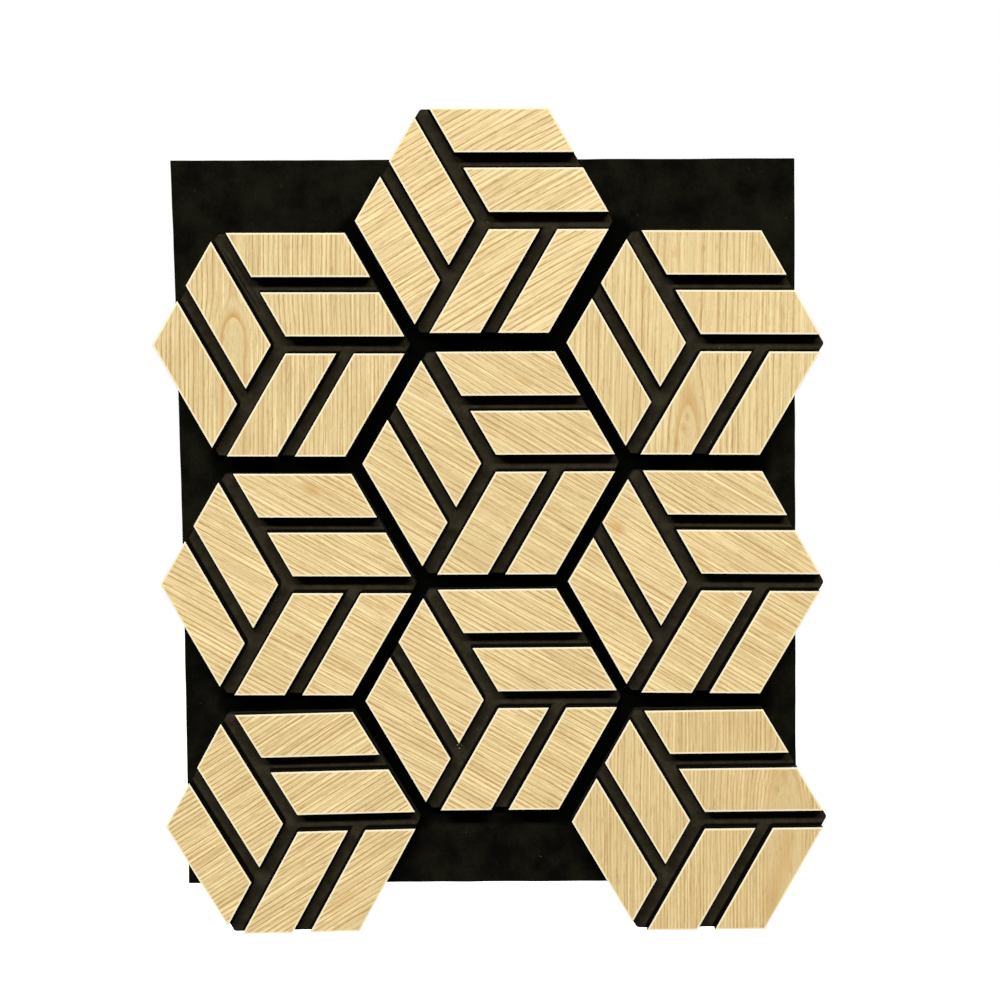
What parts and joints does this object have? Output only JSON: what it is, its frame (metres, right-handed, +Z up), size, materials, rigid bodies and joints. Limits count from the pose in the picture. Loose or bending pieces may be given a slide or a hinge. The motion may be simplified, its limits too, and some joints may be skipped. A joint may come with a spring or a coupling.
{
  "type": "acoustic wall panel",
  "caption": "Flat acoustic wall panel: hexagonal tiles of pale oak slats on black felt, set in a tumbling-block pattern on a black rectangular backing board.",
  "frame": {"origin": "centre of the backing board's back face, which lies flat on the wall", "axes": "+X to the viewer's right, +Y into the wall, +Z up; the oak slats face -Y"},
  "size_m": [0.5226, 0.0303, 0.6434],
  "materials": {
    "oak_veneer": "pale natural oak veneer, matt lacquer, on a black-dyed fibreboard core",
    "backing_felt": "black pressed polyester felt, matte"
  },
  "bodies": {
    "root": {"backing_board": "backing_felt", "left_top_upper_inner_slat": "oak_veneer", "left_top_upper_outer_slat": "oak_veneer", "left_top_left_inner_slat": "oak_veneer", "left_top_left_outer_slat": "oak_veneer", "left_top_lower_inner_slat": "oak_veneer", "left_top_lower_outer_slat": "oak_veneer", "left_middle_upper_inner_slat": "oak_veneer", "left_middle_upper_outer_slat": "oak_veneer", "left_middle_left_inner_slat": "oak_veneer", "left_middle_left_outer_slat": "oak_veneer", "left_middle_lower_inner_slat": "oak_veneer", "left_middle_lower_outer_slat": "oak_veneer", "left_bottom_upper_inner_slat": "oak_veneer", "left_bottom_upper_outer_slat": "oak_veneer", "left_bottom_left_inner_slat": "oak_veneer", "left_bottom_left_outer_slat": "oak_veneer", "left_bottom_lower_inner_slat": "oak_veneer", "left_bottom_lower_outer_slat": "oak_veneer", "centre_top_upper_inner_slat": "oak_veneer", "centre_top_upper_outer_slat": "oak_veneer", "centre_top_left_inner_slat": "oak_veneer", "centre_top_left_outer_slat": "oak_veneer", "centre_top_lower_inner_slat": "oak_veneer", "centre_top_lower_outer_slat": "oak_veneer", "centre_middle_upper_inner_slat": "oak_veneer", "centre_middle_upper_outer_slat": "oak_veneer", "centre_middle_left_inner_slat": "oak_veneer", "centre_middle_left_outer_slat": "oak_veneer", "centre_middle_lower_inner_slat": "oak_veneer", "centre_middle_lower_outer_slat": "oak_veneer", "centre_bottom_upper_inner_slat": "oak_veneer", "centre_bottom_upper_outer_slat": "oak_veneer", "centre_bottom_left_inner_slat": "oak_veneer", "centre_bottom_left_outer_slat": "oak_veneer", "centre_bottom_lower_inner_slat": "oak_veneer", "centre_bottom_lower_outer_slat": "oak_veneer", "right_top_upper_inner_slat": "oak_veneer", "right_top_upper_outer_slat": "oak_veneer", "right_top_left_inner_slat": "oak_veneer", "right_top_left_outer_slat": "oak_veneer", "right_top_lower_inner_slat": "oak_veneer", "right_top_lower_outer_slat": "oak_veneer", "right_middle_upper_inner_slat": "oak_veneer", "right_middle_upper_outer_slat": "oak_veneer", "right_middle_left_inner_slat": "oak_veneer", "right_middle_left_outer_slat": "oak_veneer", "right_middle_lower_inner_slat": "oak_veneer", "right_middle_lower_outer_slat": "oak_veneer", "right_bottom_upper_inner_slat": "oak_veneer", "right_bottom_upper_outer_slat": "oak_veneer", "right_bottom_left_inner_slat": "oak_veneer", "right_bottom_left_outer_slat": "oak_veneer", "right_bottom_lower_inner_slat": "oak_veneer", "right_bottom_lower_outer_slat": "oak_veneer"}
  },
  "joints": []
}
